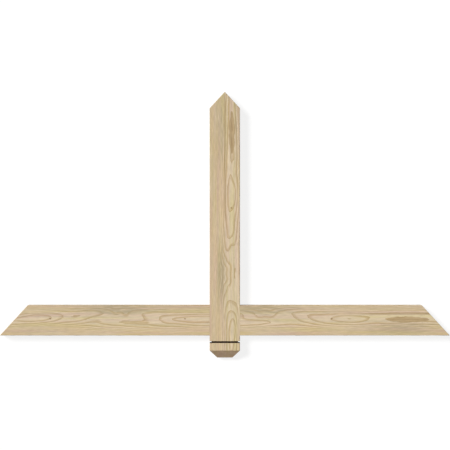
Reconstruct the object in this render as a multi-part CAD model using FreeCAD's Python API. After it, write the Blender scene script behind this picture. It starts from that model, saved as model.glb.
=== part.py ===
import FreeCAD, Part
import os

from FreeCAD import Vector

# Timber gable bracket: a king post lapped over a bottom chord, for a steep 13-in-12 gable.
#
# Two softwood timbers of one depth, flush at the front and at the back.
#
#   king_post     stands on the centre line. Its top is cut to a point on the two roof lines. Its foot hangs
#                 below the chord, with a square groove and a 45 degree chamfer on the front and both sides.
#                 The back stays flat, because it goes against the gable wall.
#   bottom_chord  one timber from tip to tip, with both ends mitred on the roof lines.
#
# They cross in a cross-halving joint, glued. The chord has a housing cut in its front and the post has one
# in its back, so the post shows whole from the front and the chord shows whole from the back. The long
# edges are eased after the joint is closed, so the easing stops in the inner corners and the crossing
# stays sharp.
#
# Frame, in millimetres: the bracket lies on its back. +X runs along the chord, +Y up the post, and +Z from
# the wall to the front. The origin is the centre of the crossing, on the back plane.

# Driving dimensions
SPAN = 1524.0  # tip to tip along the chord's lower edge
ROOF_RISE = 13.0  # pitch of the gable that the bracket fits: rise ...
ROOF_RUN = 12.0  # ... over run
TIMBER_DEPTH = 50.8  # wall to front, both timbers
CHORD_HEIGHT = 102.5  # face of the chord
POST_WIDTH = 103.0  # face of the post
POST_TAIL = 76.2  # how far the post reaches below the chord
LAP_DEPTH = 25.4  # housing in the chord's front, which the post's front half fills
LAP_CLEARANCE = 0.1  # gap at each cheek of the two housings
GROOVE_HEIGHT = 6.35  # groove round the foot of the post
GROOVE_DEPTH = 6.35
FOOT_BLOCK = 25.4  # straight part of the foot, between the groove and the chamfer
FOOT_CHAMFER = 25.4  # 45 degree chamfer that ends the foot
ARRIS_RADIUS = 2.0  # easing of the long edges

# Worked out from them
PITCH = ROOF_RISE / ROOF_RUN
TIP_X = SPAN / 2
HEEL_X = TIP_X - CHORD_HEIGHT / PITCH
CHORD_TOP = CHORD_HEIGHT / 2
CHORD_BOTTOM = -CHORD_HEIGHT / 2
POST_SIDE = POST_WIDTH / 2
POST_BOTTOM = CHORD_BOTTOM - POST_TAIL
APEX_Y = CHORD_BOTTOM + TIP_X * PITCH
SHOULDER_Y = APEX_Y - POST_SIDE * PITCH
LAP_PLANE = TIMBER_DEPTH - LAP_DEPTH
CHAMFER_TOP = POST_BOTTOM + FOOT_CHAMFER
GROOVE_BOTTOM = CHAMFER_TOP + FOOT_BLOCK
GROOVE_TOP = GROOVE_BOTTOM + GROOVE_HEIGHT
MARGIN = 50.0  # how far a cutting block runs past the timber


def block(low, high):
    """A box from its low corner to its high corner."""
    size = [h - l for l, h in zip(low, high)]
    return Part.makeBox(*size, Vector(*low))


def prism(corners, sweep):
    """The flat outline through these corners, swept along a vector."""
    points = [Vector(*corner) for corner in corners]
    outline = Part.makePolygon(points + points[:1])
    return Part.Face(outline).extrude(Vector(*sweep))


def chord_board():
    """The chord's blank: both ends lie on the roof lines."""
    corners = [
        (-TIP_X, CHORD_BOTTOM, 0),
        (TIP_X, CHORD_BOTTOM, 0),
        (HEEL_X, CHORD_TOP, 0),
        (-HEEL_X, CHORD_TOP, 0),
    ]
    return prism(corners, (0, 0, TIMBER_DEPTH))


def post_board():
    """The post's blank, pointed on the roof lines."""
    corners = [
        (-POST_SIDE, POST_BOTTOM, 0),
        (POST_SIDE, POST_BOTTOM, 0),
        (POST_SIDE, SHOULDER_Y, 0),
        (0, APEX_Y, 0),
        (-POST_SIDE, SHOULDER_Y, 0),
    ]
    return prism(corners, (0, 0, TIMBER_DEPTH))


def lies_at(edge, z):
    """True for an edge that lies in the plane at this height."""
    return all(abs(vertex.Z - z) < 1e-6 for vertex in edge.Vertexes)


def eased(shape):
    """The shape with the edges of its front and back faces rounded over."""
    arrises = [edge for edge in shape.Edges if lies_at(edge, 0) or lies_at(edge, TIMBER_DEPTH)]
    return shape.makeFillet(ARRIS_RADIUS, arrises)


def foot_chamfers():
    """What the 45 degree chamfer takes off the foot: right side, left side and front."""
    low = POST_BOTTOM - MARGIN
    drop = CHAMFER_TOP - low
    out_x = POST_SIDE + MARGIN
    out_z = TIMBER_DEPTH + MARGIN
    side_corners = [
        (POST_SIDE, CHAMFER_TOP, -MARGIN),
        (out_x, CHAMFER_TOP, -MARGIN),
        (out_x, low, -MARGIN),
        (POST_SIDE - drop, low, -MARGIN),
    ]
    front_corners = [
        (-out_x, CHAMFER_TOP, TIMBER_DEPTH),
        (-out_x, CHAMFER_TOP, out_z),
        (-out_x, low, out_z),
        (-out_x, low, TIMBER_DEPTH - drop),
    ]
    right = prism(side_corners, (0, 0, out_z + MARGIN))
    left = right.mirror(Vector(0, 0, 0), Vector(1, 0, 0))
    front = prism(front_corners, (2 * out_x, 0, 0))
    return [right, left, front]


def foot_groove():
    """The square groove on the front and the two sides of the foot."""
    ring = block(
        (-POST_SIDE - MARGIN, GROOVE_BOTTOM, -MARGIN),
        (POST_SIDE + MARGIN, GROOVE_TOP, TIMBER_DEPTH + MARGIN),
    )
    neck = block(
        (-POST_SIDE + GROOVE_DEPTH, GROOVE_BOTTOM, -MARGIN),
        (POST_SIDE - GROOVE_DEPTH, GROOVE_TOP, TIMBER_DEPTH - GROOVE_DEPTH),
    )
    return ring.cut(neck)


def bracket():
    """The closed bracket as one shape: crossed, eased, chamfered and grooved."""
    crossed = chord_board().fuse(post_board()).removeSplitter()
    shape = eased(crossed)
    for cutter in foot_chamfers() + [foot_groove()]:
        shape = shape.cut(cutter)
    return shape


def king_post(shape):
    """The post's share of the bracket: its full column, housed at the back for the chord."""
    column = block((-POST_SIDE, POST_BOTTOM, 0), (POST_SIDE, APEX_Y, TIMBER_DEPTH))
    housing = block(
        (-POST_SIDE - MARGIN, CHORD_BOTTOM - LAP_CLEARANCE, -MARGIN),
        (POST_SIDE + MARGIN, CHORD_TOP + LAP_CLEARANCE, LAP_PLANE),
    )
    return shape.common(column).cut(housing)


def bottom_chord(shape):
    """The chord's share of the bracket: tip to tip, housed at the front for the post."""
    rail = block((-TIP_X, CHORD_BOTTOM, 0), (TIP_X, CHORD_TOP, TIMBER_DEPTH))
    housing = block(
        (-POST_SIDE - LAP_CLEARANCE, CHORD_BOTTOM - MARGIN, LAP_PLANE),
        (POST_SIDE + LAP_CLEARANCE, CHORD_TOP + MARGIN, TIMBER_DEPTH + MARGIN),
    )
    return shape.common(rail).cut(housing)


os.makedirs("parts", exist_ok=True)
whole = bracket()
king_post(whole).exportStep("parts/king_post.step")
bottom_chord(whole).exportStep("parts/bottom_chord.step")
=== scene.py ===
import math

import bpy
import numpy as np
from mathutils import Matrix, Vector


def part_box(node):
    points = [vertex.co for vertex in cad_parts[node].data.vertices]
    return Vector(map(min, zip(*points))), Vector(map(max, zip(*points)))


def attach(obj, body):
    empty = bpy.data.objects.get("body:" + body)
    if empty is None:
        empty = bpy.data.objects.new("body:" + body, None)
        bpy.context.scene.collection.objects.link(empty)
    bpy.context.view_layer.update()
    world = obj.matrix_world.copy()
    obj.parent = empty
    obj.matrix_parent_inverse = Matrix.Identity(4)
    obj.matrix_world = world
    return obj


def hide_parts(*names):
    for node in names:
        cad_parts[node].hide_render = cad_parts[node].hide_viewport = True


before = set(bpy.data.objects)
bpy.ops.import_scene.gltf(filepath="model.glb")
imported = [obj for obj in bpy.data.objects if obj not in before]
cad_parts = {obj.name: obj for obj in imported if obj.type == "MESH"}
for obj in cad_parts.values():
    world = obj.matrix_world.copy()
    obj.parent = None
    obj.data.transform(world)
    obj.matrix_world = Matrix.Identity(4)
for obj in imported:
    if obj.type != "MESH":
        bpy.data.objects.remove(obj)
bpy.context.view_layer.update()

# The looks of a timber gable bracket that lies on its back: a king post lapped over a bottom chord.
# Lengths are in metres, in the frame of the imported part.

MM = 0.001

# Sizes of the two timbers, from the frame
POST_LOW, POST_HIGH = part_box("king_post")
CHORD_LOW, CHORD_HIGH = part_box("bottom_chord")
DEPTH = CHORD_HIGH.z
POST_SIDE = POST_HIGH.x
CHORD_SIDE = CHORD_HIGH.y
TIP_X = CHORD_HIGH.x
POST_BOTTOM = POST_LOW.y
APEX_Y = POST_HIGH.y
LAP_PLANE = DEPTH / 2

# Cuts, as on the part
PITCH = 13 / 12  # the roof lines that end both timbers: rise over run
ARRIS = 2.0 * MM  # easing of the long edges
LAP_CLEARANCE = 0.1 * MM
GROOVE_HEIGHT = 6.35 * MM
GROOVE_DEPTH = 6.35 * MM
FOOT_BLOCK = 25.4 * MM
FOOT_CHAMFER = 25.4 * MM

# How finely the surfaces are meshed, and how far wear goes in
ALONG_STEP = {"bottom_chord": 4.8 * MM, "king_post": 3.0 * MM}
ACROSS_STEP = 1.35 * MM
DEPTH_STEP = 1.7 * MM
WALL = 0.08 * MM  # run of a wall that stands square to the length
GRAIN_RELIEF = 0.22 * MM  # how far the soft early wood sits below the late wood
EDGE_WEAR = 0.22 * MM
END_FADE = 6 * MM  # over which both stop short of a timber's ends

# The annual rings: distance from the pith, which lies behind the timber's back
RING_WIDTH = 2.5 * MM
PITH_BEHIND = 12 * MM
HEART_DRIFT = 3 * MM  # how far the heart line wanders from straight
FIGURE_REACH = 26 * MM  # how far the figure of the front goes into the timber
SLOW_WOBBLE = 0.9 * MM
QUICK_WOBBLE = 0.18 * MM

# Where the lines beside the heart sag towards it in a W
SAG_DEPTH = 14 * MM
SAG_LENGTH = 70 * MM
SAG_RIPPLE = 42 * MM
SAG_SHARE = 0.08  # of the depth, that the ripple takes
SAG_CENTRE = 9 * MM
SAG_WIDTH = 26 * MM

STAIN_REACH = 5 * MM  # how far a brown patch goes into the timber
KNOT_SIZE = (4.4 * MM, 3.0 * MM, 9 * MM)  # of a pin knot: along, across, and in from the front


class Grain:
    """Where one timber's figure lies on its front face. Places are (along, across) in metres."""

    def __init__(self, seed, heart, bumps, sags, stains, greys, knots, streaks):
        self.seed = seed
        self.heart = heart  # the line across which the ovals sit
        self.bumps = bumps  # (along, across, half length, half width, height, bluntness) of rises and dips
        self.sags = sags  # (along, side) where the lines on one side of the heart sag towards it in a W
        self.stains = stains  # (along, across, half length, half width) of lens-shaped brown patches
        self.greys = greys  # (along, across, half length, half width, strength) of grey-olive patches
        self.knots = knots  # (along, across) of pin knots
        self.streaks = streaks  # (across, from, to) of single dark lines


def oval(along, across, depth, half_length, half_width):
    """A dip in the rings, so many rings deep, that closes one line into an oval."""
    return (along, across, half_length, half_width, -depth * RING_WIDTH, 2)


def crest(along, across):
    """A low rise that closes the end of an oval."""
    return (along, across, 0.045, 0.020, 0.6 * RING_WIDTH, 2)


def plateau(along, across):
    """A long rise between two ovals. The lines turn round its ends in nested arches."""
    return (along, across, 0.130, 0.020, 2.2 * RING_WIDTH, 4)


CHORD_GRAIN = Grain(
    seed=11,
    heart=0.007,
    bumps=[
        oval(-0.633, 0.008, 0.80, 0.055, 0.0125),
        oval(-0.103, 0.006, 1.25, 0.060, 0.0100),
        oval(0.408, 0.007, 0.70, 0.045, 0.0115),
        crest(-0.715, 0.008),
        crest(-0.540, 0.008),
        crest(0.505, 0.006),
        plateau(-0.353, 0.006),
        plateau(0.137, 0.006),
    ],
    sags=[(-0.353, 1), (0.137, 1)],
    stains=[(0.620, 0.003, 0.071, 0.0096)],
    greys=[
        (-0.365, 0.034, 0.100, 0.017, 1.4),
        (0.120, 0.036, 0.110, 0.015, 1.3),
        (0.600, -0.026, 0.100, 0.022, 1.0),
        (0.000, 0.046, 1.500, 0.016, 0.30),
    ],
    knots=[(-0.591, 0.0055), (-0.135, 0.0055), (0.362, 0.0055)],
    streaks=[(0.022, 0.455, 0.760)],
)

POST_GRAIN = Grain(
    seed=23,
    heart=0.0225,
    bumps=[
        oval(0.422, 0.0225, 0.45, 0.050, 0.0130),
        oval(-0.030, 0.026, 0.90, 0.050, 0.0130),
        crest(0.500, 0.024),
        crest(0.345, 0.0225),
        plateau(0.155, 0.024),
    ],
    sags=[(0.157, -1)],
    stains=[(0.636, 0.024, 0.071, 0.0100)],
    greys=[
        (0.160, -0.012, 0.100, 0.012, 1.5),
        (0.600, -0.014, 0.080, 0.012, 0.4),
        (0.720, 0.000, 0.150, 0.080, 0.40),
    ],
    knots=[(0.381, 0.022)],
    streaks=[(0.0005, 0.330, 0.770)],
)


# ---------------------------------------------------------------- the wood as a solid


def wobble(along, across, depth, seed, lengths, widths):
    """A smooth random field of about unit size: a sum of plane waves."""
    rng = np.random.default_rng(seed)
    count = 14
    total = np.zeros_like(along)
    for _ in range(count):
        turns = along / rng.uniform(*lengths) * rng.choice([-1, 1])
        turns = turns + across / rng.uniform(*widths) * rng.choice([-1, 1])
        turns = turns + depth / rng.uniform(*widths) * rng.choice([-1, 1])
        total += np.cos(2 * math.pi * (turns + rng.uniform()))
    return total / math.sqrt(count / 2)


def hump(along, across, place, bluntness=2):
    """A round hill of height 1 over this place: (along, across, half length, half width)."""
    return np.exp(-(np.abs((along - place[0]) / place[2]) ** bluntness) - ((across - place[1]) / place[3]) ** 2)


def sagged(grain, along, offset):
    """The distance from the heart line, with the lines pulled towards it at each sag."""
    for place, side in grain.sags:
        away = along - place
        ripple = 1 - SAG_SHARE * np.cos(2 * math.pi * away / SAG_RIPPLE)
        pull = SAG_DEPTH * np.exp(-((away / SAG_LENGTH) ** 2)) * ripple
        reach = np.exp(-(((side * offset - SAG_CENTRE) / SAG_WIDTH) ** 2))
        offset = offset + side * pull * reach
    return offset


def rings(grain, along, across, depth):
    """The ring count at each point: whole numbers are the hard edges of the late wood."""
    slow = wobble(along, across, depth, grain.seed, (0.35, 1.1), (0.12, 0.40))
    quick = wobble(along, across, depth, grain.seed + 1, (0.07, 0.25), (0.025, 0.09))
    drift = wobble(along, across, depth, grain.seed + 2, (0.30, 0.90), (0.30, 0.60))
    offset = sagged(grain, along, across - grain.heart - HEART_DRIFT * drift)
    radius = np.hypot(offset, depth + PITH_BEHIND)
    front_only = np.exp(-(((DEPTH - depth) / FIGURE_REACH) ** 2))
    for bump in grain.bumps:
        radius = radius + front_only * bump[4] * hump(along, across, bump, bump[5])
    return (radius + SLOW_WOBBLE * slow + QUICK_WOBBLE * quick) / RING_WIDTH


def steepness(grain, along, across, depth, outward):
    """How many rings a millimetre of the surface crosses, square to the grain lines."""
    reach = 0.5 * MM
    slopes = []
    for step in np.eye(3) * reach:
        ahead = rings(grain, along + step[0], across + step[1], depth + step[2])
        behind = rings(grain, along - step[0], across - step[1], depth - step[2])
        slopes.append((ahead - behind) / (2 * reach / MM))
    slope = np.stack(slopes, -1)
    slope = slope - outward * (slope * outward).sum(-1, keepdims=True)
    return np.linalg.norm(slope, axis=-1)


def late_wood(ring):
    """0 in the soft early wood, rising to 1 at the ring's hard edge."""
    part = ring - np.floor(ring)
    rise = np.clip((part - 0.45) / 0.45, 0, 1)
    fall = np.clip((1 - part) / 0.06, 0, 1)
    return rise * rise * fall


def stain(grain, along, across, depth):
    """Above 0 inside a brown patch, up to 1 on its middle line."""
    total = np.zeros_like(along)
    for place in grain.stains:
        ripple = 0.11 * wobble(along, across, depth, grain.seed + 5, (0.02, 0.06), (0.03, 0.08))
        reach = np.clip(1 - ((along - place[0]) / place[2]) ** 2, 0, 1) ** 0.6
        off = np.abs(across - place[1]) / place[3] / np.maximum(reach, 0.02)
        inside = np.clip(1 - off + ripple, 0, 1) * (reach > 0)
        total = np.maximum(total, inside * np.exp(-(((DEPTH - depth) / STAIN_REACH) ** 2)))
    return total


def greyness(grain, along, across, depth):
    """Strength of the grey-olive patches."""
    total = np.zeros_like(along)
    rough = 1 + 0.35 * wobble(along, across, depth, grain.seed + 6, (0.03, 0.12), (0.006, 0.02))
    for place in grain.greys:
        total = total + place[4] * hump(along, across, place) * rough
    return np.clip(total, 0, 1.3)


# ---------------------------------------------------------------- the meshes


def lattice_surface(shape, right_handed):
    """The surface of a box lattice: its points as (i, j, k) rows, and outward quads over them."""
    shell = np.ones(shape, bool)
    shell[1:-1, 1:-1, 1:-1] = False
    ids = np.full(shape, -1)
    ids[shell] = np.arange(shell.sum())

    def quads(sheet, flip):
        found = np.stack([sheet[:-1, :-1], sheet[1:, :-1], sheet[1:, 1:], sheet[:-1, 1:]], -1).reshape(-1, 4)
        return found[:, ::-1] if flip else found

    sides = [
        quads(ids[:, :, -1], False),
        quads(ids[:, :, 0], True),
        quads(ids[:, -1, :], True),
        quads(ids[:, 0, :], False),
        quads(ids[-1], False),
        quads(ids[0], True),
    ]
    faces = np.concatenate(sides)
    return np.argwhere(shell), faces if right_handed else faces[:, ::-1]


def section_lines(size, step):
    """Lattice fractions over one side of a section: close in the two eased corners, even between."""
    corner = np.array([0, 0.3, 0.65]) * ARRIS
    half = max(2, round((size / 2 - ARRIS) / step))
    middle = np.linspace(ARRIS, size - ARRIS, 2 * half + 1)
    return np.concatenate([corner, middle, size - corner[::-1]]) / size


def stations(low, high, step, knots):
    """Places along the length: every knot, and even steps where no knot is near."""
    knots = np.unique(np.round(knots, 7))
    even = np.linspace(low, high, round((high - low) / step) + 1)
    gap = np.abs(even[:, None] - knots[None, :]).min(1)
    return np.sort(np.concatenate([knots, even[gap > 0.45 * step]]))


def profile(places, table):
    """A size along the length, straight between the (place, value) rows of its table."""
    table = sorted(table)
    return np.interp(places, [row[0] for row in table], [row[1] for row in table])


def corner_share(fraction, zone):
    """How far a lattice fraction is into the corner zone: 0 outside, 1 on the edge."""
    return np.clip((np.abs(fraction - 0.5) - (0.5 - zone)) / zone, 0, 1)


class Timber:
    """One timber as a box lattice that is shaped by profiles along its length."""

    def __init__(self, name, grain, low, high, half_width):
        self.name = name
        self.grain = grain
        self.low = low
        self.high = high
        self.half_width = half_width
        self.inset = [(low, 0.0)]  # both sides, inwards
        self.front = [(low, DEPTH)]
        self.back = [(low, 0.0)]
        self.ease = [(low, 1.0)]  # 1 where the long edges are eased, 0 where they are sharp
        self.hidden = (0.0, 0.0)  # the crossing, where the lap face shows to nobody

    def knots(self):
        tables = self.inset + self.front + self.back + self.ease
        return [row[0] for row in tables] + [self.high]

    def ease_end(self, end, inward, radius):
        """Rounds the front and back edges of one end."""
        front = float(profile(end, self.front))
        back = float(profile(end, self.back))
        self.front = [row for row in self.front if row[0] != end]
        self.back = [row for row in self.back if row[0] != end]
        for share in (0.0, 0.1, 0.35, 0.7, 1.0):
            drop = radius - math.sqrt(radius**2 - (radius * (1 - share)) ** 2)
            place = end + inward * radius * share
            self.front.append((place, front - drop))
            self.back.append((place, back + drop))

    def lattice(self):
        """Lattice points with their fractions, places along and faces."""
        along = stations(self.low, self.high, ALONG_STEP[self.name], self.knots())
        across = section_lines(2 * self.half_width, ACROSS_STEP)
        depth = section_lines(DEPTH, DEPTH_STEP)
        points, faces = lattice_surface((len(along), len(across), len(depth)), self.name == "bottom_chord")
        last = np.array([len(along), len(across), len(depth)]) - 1
        on_cap = (points[:, 0] == 0) | (points[:, 0] == last[0])
        on_ring = ((points[:, 1:] == 0) | (points[:, 1:] == last[1:])).any(1)
        return along[points[:, 0]], across[points[:, 1]], depth[points[:, 2]], on_cap & ~on_ring, faces

    def build(self, skew, axes):
        """The finished mesh object. skew(along, across) moves places onto the end cuts."""
        along, f, g, inside_cap, faces = self.lattice()
        zone_f = ARRIS / (2 * self.half_width)
        zone_g = ARRIS / DEPTH
        a = corner_share(f, zone_f)
        b = corner_share(g, zone_g)
        ease = profile(along, self.ease)
        side = np.sign(f - 0.5)
        face = np.sign(g - 0.5)
        f = f + ease * side * zone_f * a * (np.sqrt(1 - b * b / 2) - 1)
        g = g + ease * face * zone_g * b * (np.sqrt(1 - a * a / 2) - 1)
        half = self.half_width - profile(along, self.inset)
        back = profile(along, self.back)
        front = profile(along, self.front)
        across = (2 * f - 1) * half
        depth = back + (front - back) * g
        place = skew(along, across)
        worn = self.wear(along, place, across, depth, a * b)
        reach = np.maximum(np.hypot(a, b), 1e-9)
        across = across - np.where(inside_cap, 0, worn * side * a / reach)
        depth = depth - np.where(inside_cap, 0, worn * face * b / reach)
        return self.mesh(place, across, depth, faces, axes)

    def wear(self, nominal, along, across, depth, corner):
        """How far each point is worn in: soft early wood everywhere, and the corners a little more."""
        ring = rings(self.grain, along, across, depth)
        rough = wobble(along, across, depth, self.grain.seed + 3, (0.02, 0.09), (0.01, 0.03))
        worn = GRAIN_RELIEF * (1 - late_wood(ring))
        worn = worn + EDGE_WEAR * corner * np.clip(rough - 0.5, 0, 1.2)
        ends = np.minimum(nominal - self.low, self.high - nominal)
        crossing = (nominal > self.hidden[0]) & (nominal < self.hidden[1])
        laps = crossing & (np.abs(depth - LAP_PLANE) < 1 * MM)
        return np.where(laps, 0, worn * np.clip(ends / END_FADE, 0, 1))

    def mesh(self, along, across, depth, faces, axes):
        """The mesh object, with the wood's fields as attributes."""
        spots = np.zeros((len(along), 3))
        spots[:, axes[0]] = along
        spots[:, axes[1]] = across
        spots[:, 2] = depth
        mesh = bpy.data.meshes.new(self.name + "_timber")
        mesh.from_pydata(spots.tolist(), [], faces.tolist())
        mesh.polygons.foreach_set("use_smooth", np.ones(len(faces), bool))
        mesh.update()
        mesh.set_sharp_from_angle(angle=math.radians(38))
        outward = np.zeros(3 * len(along), np.float32)
        mesh.vertices.foreach_get("normal", outward)
        outward = outward.reshape(-1, 3)[:, [axes[0], axes[1], 2]]
        fields = {
            "ring": rings(self.grain, along, across, depth),
            "steep": steepness(self.grain, along, across, depth, outward),
            "stain": stain(self.grain, along, across, depth),
            "grey": greyness(self.grain, along, across, depth),
        }
        for name, values in fields.items():
            mesh.attributes.new(name, "FLOAT", "POINT").data.foreach_set("value", values.astype(np.float32))
        obj = bpy.data.objects.new(self.name + "_timber", mesh)
        bpy.context.scene.collection.objects.link(obj)
        return obj


def step_in(table, low, high, outside, inside):
    """Adds a square-cornered recess to a profile: inside between low and high, outside beyond them."""
    table += [(low, outside), (low + WALL, inside), (high - WALL, inside), (high, outside)]


def build_chord():
    """The bottom chord: mitred ends, and the housing in its front."""
    timber = Timber("bottom_chord", CHORD_GRAIN, -TIP_X, TIP_X, CHORD_SIDE)
    mouth = POST_SIDE + LAP_CLEARANCE
    step_in(timber.front, -mouth, mouth, DEPTH, LAP_PLANE)
    timber.ease += [(-POST_SIDE - ARRIS, 1.0), (-POST_SIDE, 0.0), (POST_SIDE, 0.0), (POST_SIDE + ARRIS, 1.0)]
    timber.hidden = (-POST_SIDE, POST_SIDE)
    timber.ease_end(-TIP_X, 1, ARRIS)
    timber.ease_end(TIP_X, -1, ARRIS)
    straight = 0.45 * TIP_X

    def skew(along, across):
        end = TIP_X - (across + CHORD_SIDE) / PITCH
        share = np.clip((np.abs(along) - straight) / (TIP_X - straight), 0, 1)
        return along + np.sign(along) * share * (end - TIP_X)

    return timber.build(skew, (0, 1))


def build_post():
    """The king post: pointed top, housing in its back, groove and chamfer at the foot."""
    timber = Timber("king_post", POST_GRAIN, POST_BOTTOM, APEX_Y, POST_SIDE)
    chamfer_top = POST_BOTTOM + FOOT_CHAMFER
    groove_low = chamfer_top + FOOT_BLOCK
    groove_high = groove_low + GROOVE_HEIGHT
    mouth = CHORD_SIDE + LAP_CLEARANCE
    timber.inset = [(POST_BOTTOM, FOOT_CHAMFER), (chamfer_top, 0.0)]
    timber.front = [(POST_BOTTOM, DEPTH - FOOT_CHAMFER), (chamfer_top, DEPTH)]
    timber.ease = [(POST_BOTTOM, 0.15), (chamfer_top - ARRIS, 0.15), (chamfer_top, 1.0)]
    step_in(timber.inset, groove_low, groove_high, 0.0, GROOVE_DEPTH)
    step_in(timber.front, groove_low, groove_high, DEPTH, DEPTH - GROOVE_DEPTH)
    step_in(timber.ease, groove_low, groove_high, 1.0, 0.0)
    step_in(timber.back, -mouth, mouth, 0.0, LAP_PLANE)
    timber.ease += [(-CHORD_SIDE - ARRIS, 1.0), (-CHORD_SIDE, 0.0), (CHORD_SIDE, 0.0), (CHORD_SIDE + ARRIS, 1.0)]
    timber.hidden = (-CHORD_SIDE, CHORD_SIDE)
    timber.ease_end(APEX_Y, -1, ARRIS)
    straight = 0.6 * APEX_Y

    def skew(along, across):
        share = np.clip((along - straight) / (APEX_Y - straight), 0, 1)
        return along - share * np.abs(across) * PITCH

    return timber.build(skew, (1, 0))


# ---------------------------------------------------------------- the wood's material


def srgb(red, green, blue):
    """A colour written in 0-255 screen values, as linear values."""
    parts = [c / 255 for c in (red, green, blue)]
    return tuple(c / 12.92 if c <= 0.04045 else ((c + 0.055) / 1.055) ** 2.4 for c in parts) + (1.0,)


EARLY = srgb(216, 197, 167)
LATE = srgb(160, 127, 76)
GOLDEN = srgb(214, 187, 132)
PINK = srgb(212, 183, 162)
GREEN = srgb(205, 190, 138)
GREY = srgb(168, 154, 124)
STAIN = srgb(180, 155, 114)
STAIN_EDGE = srgb(166, 139, 100)
KNOT = srgb(128, 92, 56)
STREAK = srgb(165, 140, 98)
# painted shade: this near-black brown stands in for the shade inside the post's groove
GROOVE_PAINTED_SHADE = srgb(40, 20, 2)
END_TINT = srgb(213, 190, 197)  # what end grain darkens the colour by


# The dark line and the golden glow on the soft side of a ring's hard edge, in millimetres of surface
LINE_FADE = 5.2
GLOW_FADE = 12.0
LATE_LEAST = 0.08  # of a ring, that the dark line takes where the surface runs along the ring
LATE_SHARE = 0.6  # of a ring, at most
LEAST_STEEP = 0.015  # rings per millimetre taken where the surface runs along the ring


class Nodes:
    """Short ways to add shader nodes to one material."""

    def __init__(self, name):
        self.material = bpy.data.materials.new(name)
        self.material.use_nodes = True
        self.tree = self.material.node_tree
        self.tree.nodes.clear()

    def add(self, kind, **settings):
        node = self.tree.nodes.new(kind)
        for key, value in settings.items():
            setattr(node, key, value)
        return node

    def put(self, socket, value):
        """Sets a socket to a value, or links it to another socket."""
        if isinstance(value, bpy.types.NodeSocket):
            self.tree.links.new(value, socket)
        else:
            socket.default_value = value

    def math(self, operation, first, second=0.0, clamp=False):
        node = self.add("ShaderNodeMath", operation=operation, use_clamp=clamp)
        self.put(node.inputs[0], first)
        self.put(node.inputs[1], second)
        return node.outputs[0]

    def vector(self, operation, first, second=(0.0, 0.0, 0.0), output="Vector"):
        node = self.add("ShaderNodeVectorMath", operation=operation)
        self.put(node.inputs[0], first)
        self.put(node.inputs[1], second)
        return node.outputs[output]

    def mix(self, share, first, second, blend="MIX"):
        node = self.add("ShaderNodeMix", data_type="RGBA", blend_type=blend)
        self.put(node.inputs[0], share)
        self.put(node.inputs[6], first)
        self.put(node.inputs[7], second)
        return node.outputs[2]

    def ranged(self, value, low, high, to_low=0.0, to_high=1.0, smooth=False):
        node = self.add("ShaderNodeMapRange", interpolation_type="SMOOTHSTEP" if smooth else "LINEAR")
        for socket, number in zip(node.inputs, (value, low, high, to_low, to_high)):
            self.put(socket, number)
        return node.outputs[0]

    def ramp(self, value, stops):
        node = self.add("ShaderNodeValToRGB")
        elements = node.color_ramp.elements
        while len(elements) < len(stops):
            elements.new(0.5)
        for element, (place, level) in zip(elements, stops):
            element.position = place
            element.color = (level, level, level, 1)
        self.put(node.inputs[0], value)
        return node.outputs[0]

    def noise(self, place, scale, detail=3.0, roughness=0.55):
        node = self.add("ShaderNodeTexNoise")
        self.put(node.inputs["Vector"], place)
        self.put(node.inputs["Scale"], scale)
        self.put(node.inputs["Detail"], detail)
        self.put(node.inputs["Roughness"], roughness)
        return node.outputs[0]

    def field(self, name):
        return self.add("ShaderNodeAttribute", attribute_name=name).outputs["Fac"]


def nearest_knot(n, place, grain, axes):
    """1 on a pin knot, 0 away from it."""
    total = 0.0
    for along, across in grain.knots:
        centre = [0.0, 0.0, DEPTH]
        centre[axes[0]] = along
        centre[axes[1]] = across
        size = [0.0, 0.0, 1 / KNOT_SIZE[2]]
        size[axes[0]] = 1 / KNOT_SIZE[0]
        size[axes[1]] = 1 / KNOT_SIZE[1]
        away = n.vector("LENGTH", n.vector("MULTIPLY", n.vector("SUBTRACT", place, centre), size), output="Value")
        total = n.math("MAXIMUM", n.ranged(away, 0.45, 1.0, 1.0, 0.0, smooth=True), total)
    return total


def dark_streaks(n, coordinates, grain, waver):
    """1 on a single dark grain line of the front face, fading at both of its ends."""
    along, across, depth = coordinates
    near_front = n.ranged(depth, DEPTH - 4 * MM, DEPTH - 1 * MM)
    total = 0.0
    for place, start, stop in grain.streaks:
        off = n.math("ABSOLUTE", n.math("SUBTRACT", n.math("ADD", across, waver), place))
        line = n.ranged(off, 0.4 * MM, 3.2 * MM, 1.0, 0.0, smooth=True)
        begins = n.ranged(along, start, start + 0.05, smooth=True)
        ends = n.ranged(along, stop - 0.05, stop, 1.0, 0.0, smooth=True)
        total = n.math("MAXIMUM", n.math("MULTIPLY", line, n.math("MULTIPLY", begins, ends)), total)
    return n.math("MULTIPLY", total, near_front)


def groove_painted_shade(n, coordinates):
    """1 inside the groove of the post's foot, where shade is painted into the wood's colour."""
    along, across, depth = coordinates
    low = POST_BOTTOM + FOOT_CHAMFER + FOOT_BLOCK
    lip = 0.25 * MM
    above = n.math("GREATER_THAN", along, low - 0.5 * lip)
    below = n.math("LESS_THAN", along, low + GROOVE_HEIGHT + 0.5 * lip)
    from_front = n.math("SUBTRACT", DEPTH - lip, depth)
    from_side = n.math("SUBTRACT", POST_SIDE - lip, n.math("ABSOLUTE", across))
    sunk = n.math("GREATER_THAN", n.math("MINIMUM", from_front, from_side), lip)
    return n.math("MULTIPLY", n.math("MULTIPLY", above, below), sunk)


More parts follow.
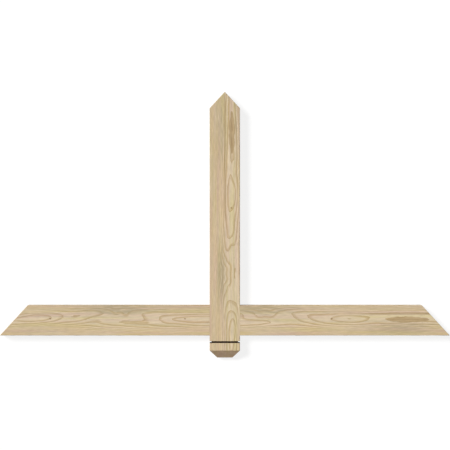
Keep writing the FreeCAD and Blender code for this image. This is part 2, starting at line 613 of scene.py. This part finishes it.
def wood(name, grain, axes):
    """The timber's material. axes are the frame axes that run along and across the timber."""
    n = Nodes(name)
    here = n.add("ShaderNodeTexCoord")
    place = here.outputs["Object"]
    split = n.add("ShaderNodeSeparateXYZ")
    n.put(split.inputs[0], place)
    along, across, depth = split.outputs[axes[0]], split.outputs[axes[1]], split.outputs[2]

    def stretched(length, width):
        size = [1 / width] * 3
        size[axes[0]] = 1 / length
        return n.vector("MULTIPLY", place, size)

    fibre = n.noise(stretched(0.060, 0.0011), 1.0, 3.0, 0.6)
    flecks = n.noise(stretched(0.024, 0.0032), 1.0, 2.0, 0.6)
    bands = n.noise(stretched(0.40, 0.0075), 1.0, 2.5, 0.55)
    tint = n.noise(stretched(0.28, 0.011), 1.0, 2.0, 0.5)
    clouds = n.noise(stretched(0.16, 0.030), 1.0, 2.0, 0.5)
    ripple = n.noise(stretched(0.030, 0.0050), 1.0, 2.0, 0.5)

    ring = n.math("ADD", n.field("ring"), n.ranged(ripple, 0.0, 1.0, -0.10, 0.10))
    part = n.math("FRACT", ring)
    steep = n.math("MAXIMUM", n.field("steep"), LEAST_STEEP)
    before = n.math("DIVIDE", n.math("SUBTRACT", 1.0, part), steep)
    after = n.math("DIVIDE", part, steep)
    flat = n.ranged(steep, 0.10, 0.28, 1.0, 0.0, smooth=True)
    reach = n.math("MINIMUM", n.math("ADD", n.math("MULTIPLY", steep, LINE_FADE), LATE_LEAST), LATE_SHARE)
    left = n.math("DIVIDE", n.math("SUBTRACT", 1.0, part), reach)
    rise = n.math("POWER", n.math("SUBTRACT", 1.0, left, clamp=True), 1.3)
    line = n.math("MAXIMUM", rise, n.ranged(after, 0.0, 0.9, 0.8, 0.0))
    number = n.add("ShaderNodeTexWhiteNoise", noise_dimensions="1D")
    n.put(number.inputs["W"], n.math("FLOOR", ring))
    strength = n.ranged(number.outputs["Value"], 0.0, 1.0, 0.40, 1.0)
    strength = n.math("MAXIMUM", strength, n.math("MULTIPLY", flat, 0.85))
    broken = n.ranged(bands, 0.30, 0.70, 0.45, 1.15)
    broken = n.math("MAXIMUM", broken, n.math("MULTIPLY", flat, 0.80))
    line = n.math("MULTIPLY", line, n.math("MULTIPLY", strength, broken), clamp=True)

    glow = n.ranged(before, 0.0, GLOW_FADE, 1.0, 0.0, smooth=True)
    colour = n.mix(n.math("MULTIPLY", glow, n.ranged(clouds, 0.35, 0.70, 0.05, 0.60)), EARLY, GOLDEN)
    colour = n.mix(n.ranged(tint, 0.50, 0.72, 0.0, 0.75), colour, PINK)
    colour = n.mix(n.ranged(tint, 0.48, 0.28, 0.0, 0.65), colour, GREEN)
    colour = n.mix(n.math("MULTIPLY", line, 0.80), colour, LATE)
    colour = n.mix(n.math("MULTIPLY", n.field("grey"), 0.50, clamp=True), colour, GREY)

    patch = n.field("stain")
    colour = n.mix(n.ranged(patch, 0.02, 0.22, 0.0, 0.85, smooth=True), colour, STAIN)
    rim = n.ramp(patch, [(0.0, 0.0), (0.05, 0.5), (0.14, 0.75), (0.30, 0.1), (0.70, 0.0), (0.90, 0.55)])
    colour = n.mix(rim, colour, STAIN_EDGE)

    waver = n.ranged(n.noise(stretched(0.14, 0.05), 1.0, 2.0), 0.0, 1.0, -2.0 * MM, 2.0 * MM)
    colour = n.mix(n.math("MULTIPLY", dark_streaks(n, (along, across, depth), grain, waver), 0.75), colour, STREAK)
    colour = n.mix(n.math("MULTIPLY", nearest_knot(n, place, grain, axes), 0.70), colour, KNOT)

    shade = n.math("MULTIPLY", n.ranged(fibre, 0.25, 0.75, 0.90, 1.07), n.ranged(bands, 0.25, 0.75, 0.88, 1.09))
    shade = n.math("MULTIPLY", shade, n.ranged(flecks, 0.25, 0.75, 0.89, 1.10))
    tone = n.add("ShaderNodeCombineColor")
    for socket in tone.inputs:
        n.put(socket, shade)
    colour = n.mix(1.0, colour, tone.outputs[0], "MULTIPLY")

    facing = n.add("ShaderNodeSeparateXYZ")
    n.put(facing.inputs[0], here.outputs["Normal"])
    cut = n.ranged(n.math("ABSOLUTE", facing.outputs[axes[0]]), 0.35, 0.85)
    pores = n.noise(place, 1500.0, 2.0, 0.7)
    end_colour = n.mix(1.0, colour, END_TINT, "MULTIPLY")
    end_colour = n.mix(n.ranged(pores, 0.35, 0.65, 0.15, 0.55), end_colour, LATE)
    colour = n.mix(n.math("MULTIPLY", cut, 0.75), colour, end_colour)
    if name.startswith("king_post"):
        # painted shade: the inside of the groove is coloured dark in place of the shade that falls there
        colour = n.mix(groove_painted_shade(n, (along, across, depth)), colour, GROOVE_PAINTED_SHADE)

    height = n.math("ADD", n.math("MULTIPLY", fibre, 0.6), n.math("MULTIPLY", line, 0.35))
    height = n.math("ADD", height, n.math("MULTIPLY", n.math("MULTIPLY", pores, cut), 0.6))
    bump = n.add("ShaderNodeBump")
    n.put(bump.inputs["Strength"], 0.35)
    n.put(bump.inputs["Distance"], 0.25 * MM)
    n.put(bump.inputs["Height"], height)

    shader = n.add("ShaderNodeBsdfPrincipled")
    n.put(shader.inputs["Base Color"], colour)
    n.put(shader.inputs["Roughness"], n.ranged(fibre, 0.2, 0.8, 0.66, 0.82))
    n.put(shader.inputs["Specular IOR Level"], 0.25)
    n.put(shader.inputs["Normal"], bump.outputs[0])
    out = n.add("ShaderNodeOutputMaterial")
    n.put(out.inputs[0], shader.outputs[0])
    return n.material


# ---------------------------------------------------------------- the studio

FRONT_PLANE_DISTANCE = 6.09  # camera to the bracket's front
FRAME_WIDTH = 1.5234  # what the picture's width covers on the front plane
AIM = (0.7 * MM, -0.4 * MM)  # from the middle of the bracket's outline to the camera's axis
SENSOR = 36.0
KEY_TURN = math.radians(36)  # key light: to the left of the camera's axis ...
KEY_RISE = math.radians(20)  # ... and above it, as the bracket hangs
KEY_LEVEL = 1.13
KEY_WIDTH = math.radians(20)  # how wide its disc looks from the bracket, which softens the shadow
FILL_LEVEL = 0.15
FLOOR_LEVEL = 0.80  # the floor's colour, as the bracket sees it
SEEN_SHADOW = 0.20  # what the camera sees of the floor: this much lit by the lamps, which keeps the shadow ...
SEEN_WHITE = 0.84  # ... and this much plain white


def soft_sun(name, turn, rise, level, width):
    """A distant soft light that lights a white surface square to it at this level."""
    light = bpy.data.lights.new(name, "SUN")
    light.energy = math.pi * level
    light.angle = width
    obj = bpy.data.objects.new(name, light)
    towards = Vector((-math.sin(turn) * math.cos(rise), math.sin(rise), math.cos(turn) * math.cos(rise)))
    obj.rotation_mode = "QUATERNION"
    obj.rotation_quaternion = towards.to_track_quat("Z", "Y")
    bpy.context.scene.collection.objects.link(obj)


def white_world():
    """Even fill light, and plain white where the camera looks past the floor."""
    world = bpy.data.worlds.new("studio")
    bpy.context.scene.world = world
    world.use_nodes = True
    tree = world.node_tree
    tree.nodes.clear()
    rays = tree.nodes.new("ShaderNodeLightPath")
    fill = tree.nodes.new("ShaderNodeBackground")
    fill.inputs["Strength"].default_value = FILL_LEVEL
    white = tree.nodes.new("ShaderNodeBackground")
    mix = tree.nodes.new("ShaderNodeMixShader")
    out = tree.nodes.new("ShaderNodeOutputWorld")
    for shader in (fill, white):
        shader.inputs["Color"].default_value = (1, 1, 1, 1)
    tree.links.new(rays.outputs["Is Camera Ray"], mix.inputs[0])
    tree.links.new(fill.outputs[0], mix.inputs[1])
    tree.links.new(white.outputs[0], mix.inputs[2])
    tree.links.new(mix.outputs[0], out.inputs[0])


def grey(level):
    """A grey of this linear level."""
    return (level, level, level, 1)


def floor():
    """A pale floor that looks white to the camera and keeps a soft shadow."""
    n = Nodes("floor")
    rays = n.add("ShaderNodeLightPath")
    pale = n.add("ShaderNodeBsdfDiffuse")
    pale.inputs["Color"].default_value = grey(FLOOR_LEVEL)
    shadow_share = n.add("ShaderNodeBsdfDiffuse")
    shadow_share.inputs["Color"].default_value = grey(SEEN_SHADOW)
    glow = n.add("ShaderNodeEmission")
    glow.inputs["Color"].default_value = grey(SEEN_WHITE)
    seen = n.add("ShaderNodeAddShader")
    n.put(seen.inputs[0], shadow_share.outputs[0])
    n.put(seen.inputs[1], glow.outputs[0])
    mix = n.add("ShaderNodeMixShader")
    n.put(mix.inputs[0], rays.outputs["Is Camera Ray"])
    n.put(mix.inputs[1], pale.outputs[0])
    n.put(mix.inputs[2], seen.outputs[0])
    out = n.add("ShaderNodeOutputMaterial")
    n.put(out.inputs[0], mix.outputs[0])
    bpy.ops.mesh.primitive_plane_add(size=60, location=(0, 0, -0.2 * MM))
    plane = bpy.context.object
    plane.name = "floor"
    plane.data.materials.append(n.material)


def camera():
    """The camera squares up to the front, over the middle of the bracket's outline."""
    data = bpy.data.cameras.new("camera")
    data.sensor_width = SENSOR
    data.lens = SENSOR * FRONT_PLANE_DISTANCE / FRAME_WIDTH
    data.clip_end = 100
    obj = bpy.data.objects.new("camera", data)
    obj.location = (AIM[0], (POST_BOTTOM + APEX_Y) / 2 + AIM[1], DEPTH + FRONT_PLANE_DISTANCE)
    bpy.context.scene.collection.objects.link(obj)
    bpy.context.scene.camera = obj


for node, build, grain, axes in (
    ("bottom_chord", build_chord, CHORD_GRAIN, (0, 1)),
    ("king_post", build_post, POST_GRAIN, (1, 0)),
):
    piece = build()
    piece.data.materials.append(wood(node + "_wood", grain, axes))
    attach(piece, "root")
    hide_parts(node)

white_world()
floor()
soft_sun("key", KEY_TURN, KEY_RISE, KEY_LEVEL, KEY_WIDTH)
camera()
bpy.context.scene.view_settings.view_transform = "Standard"
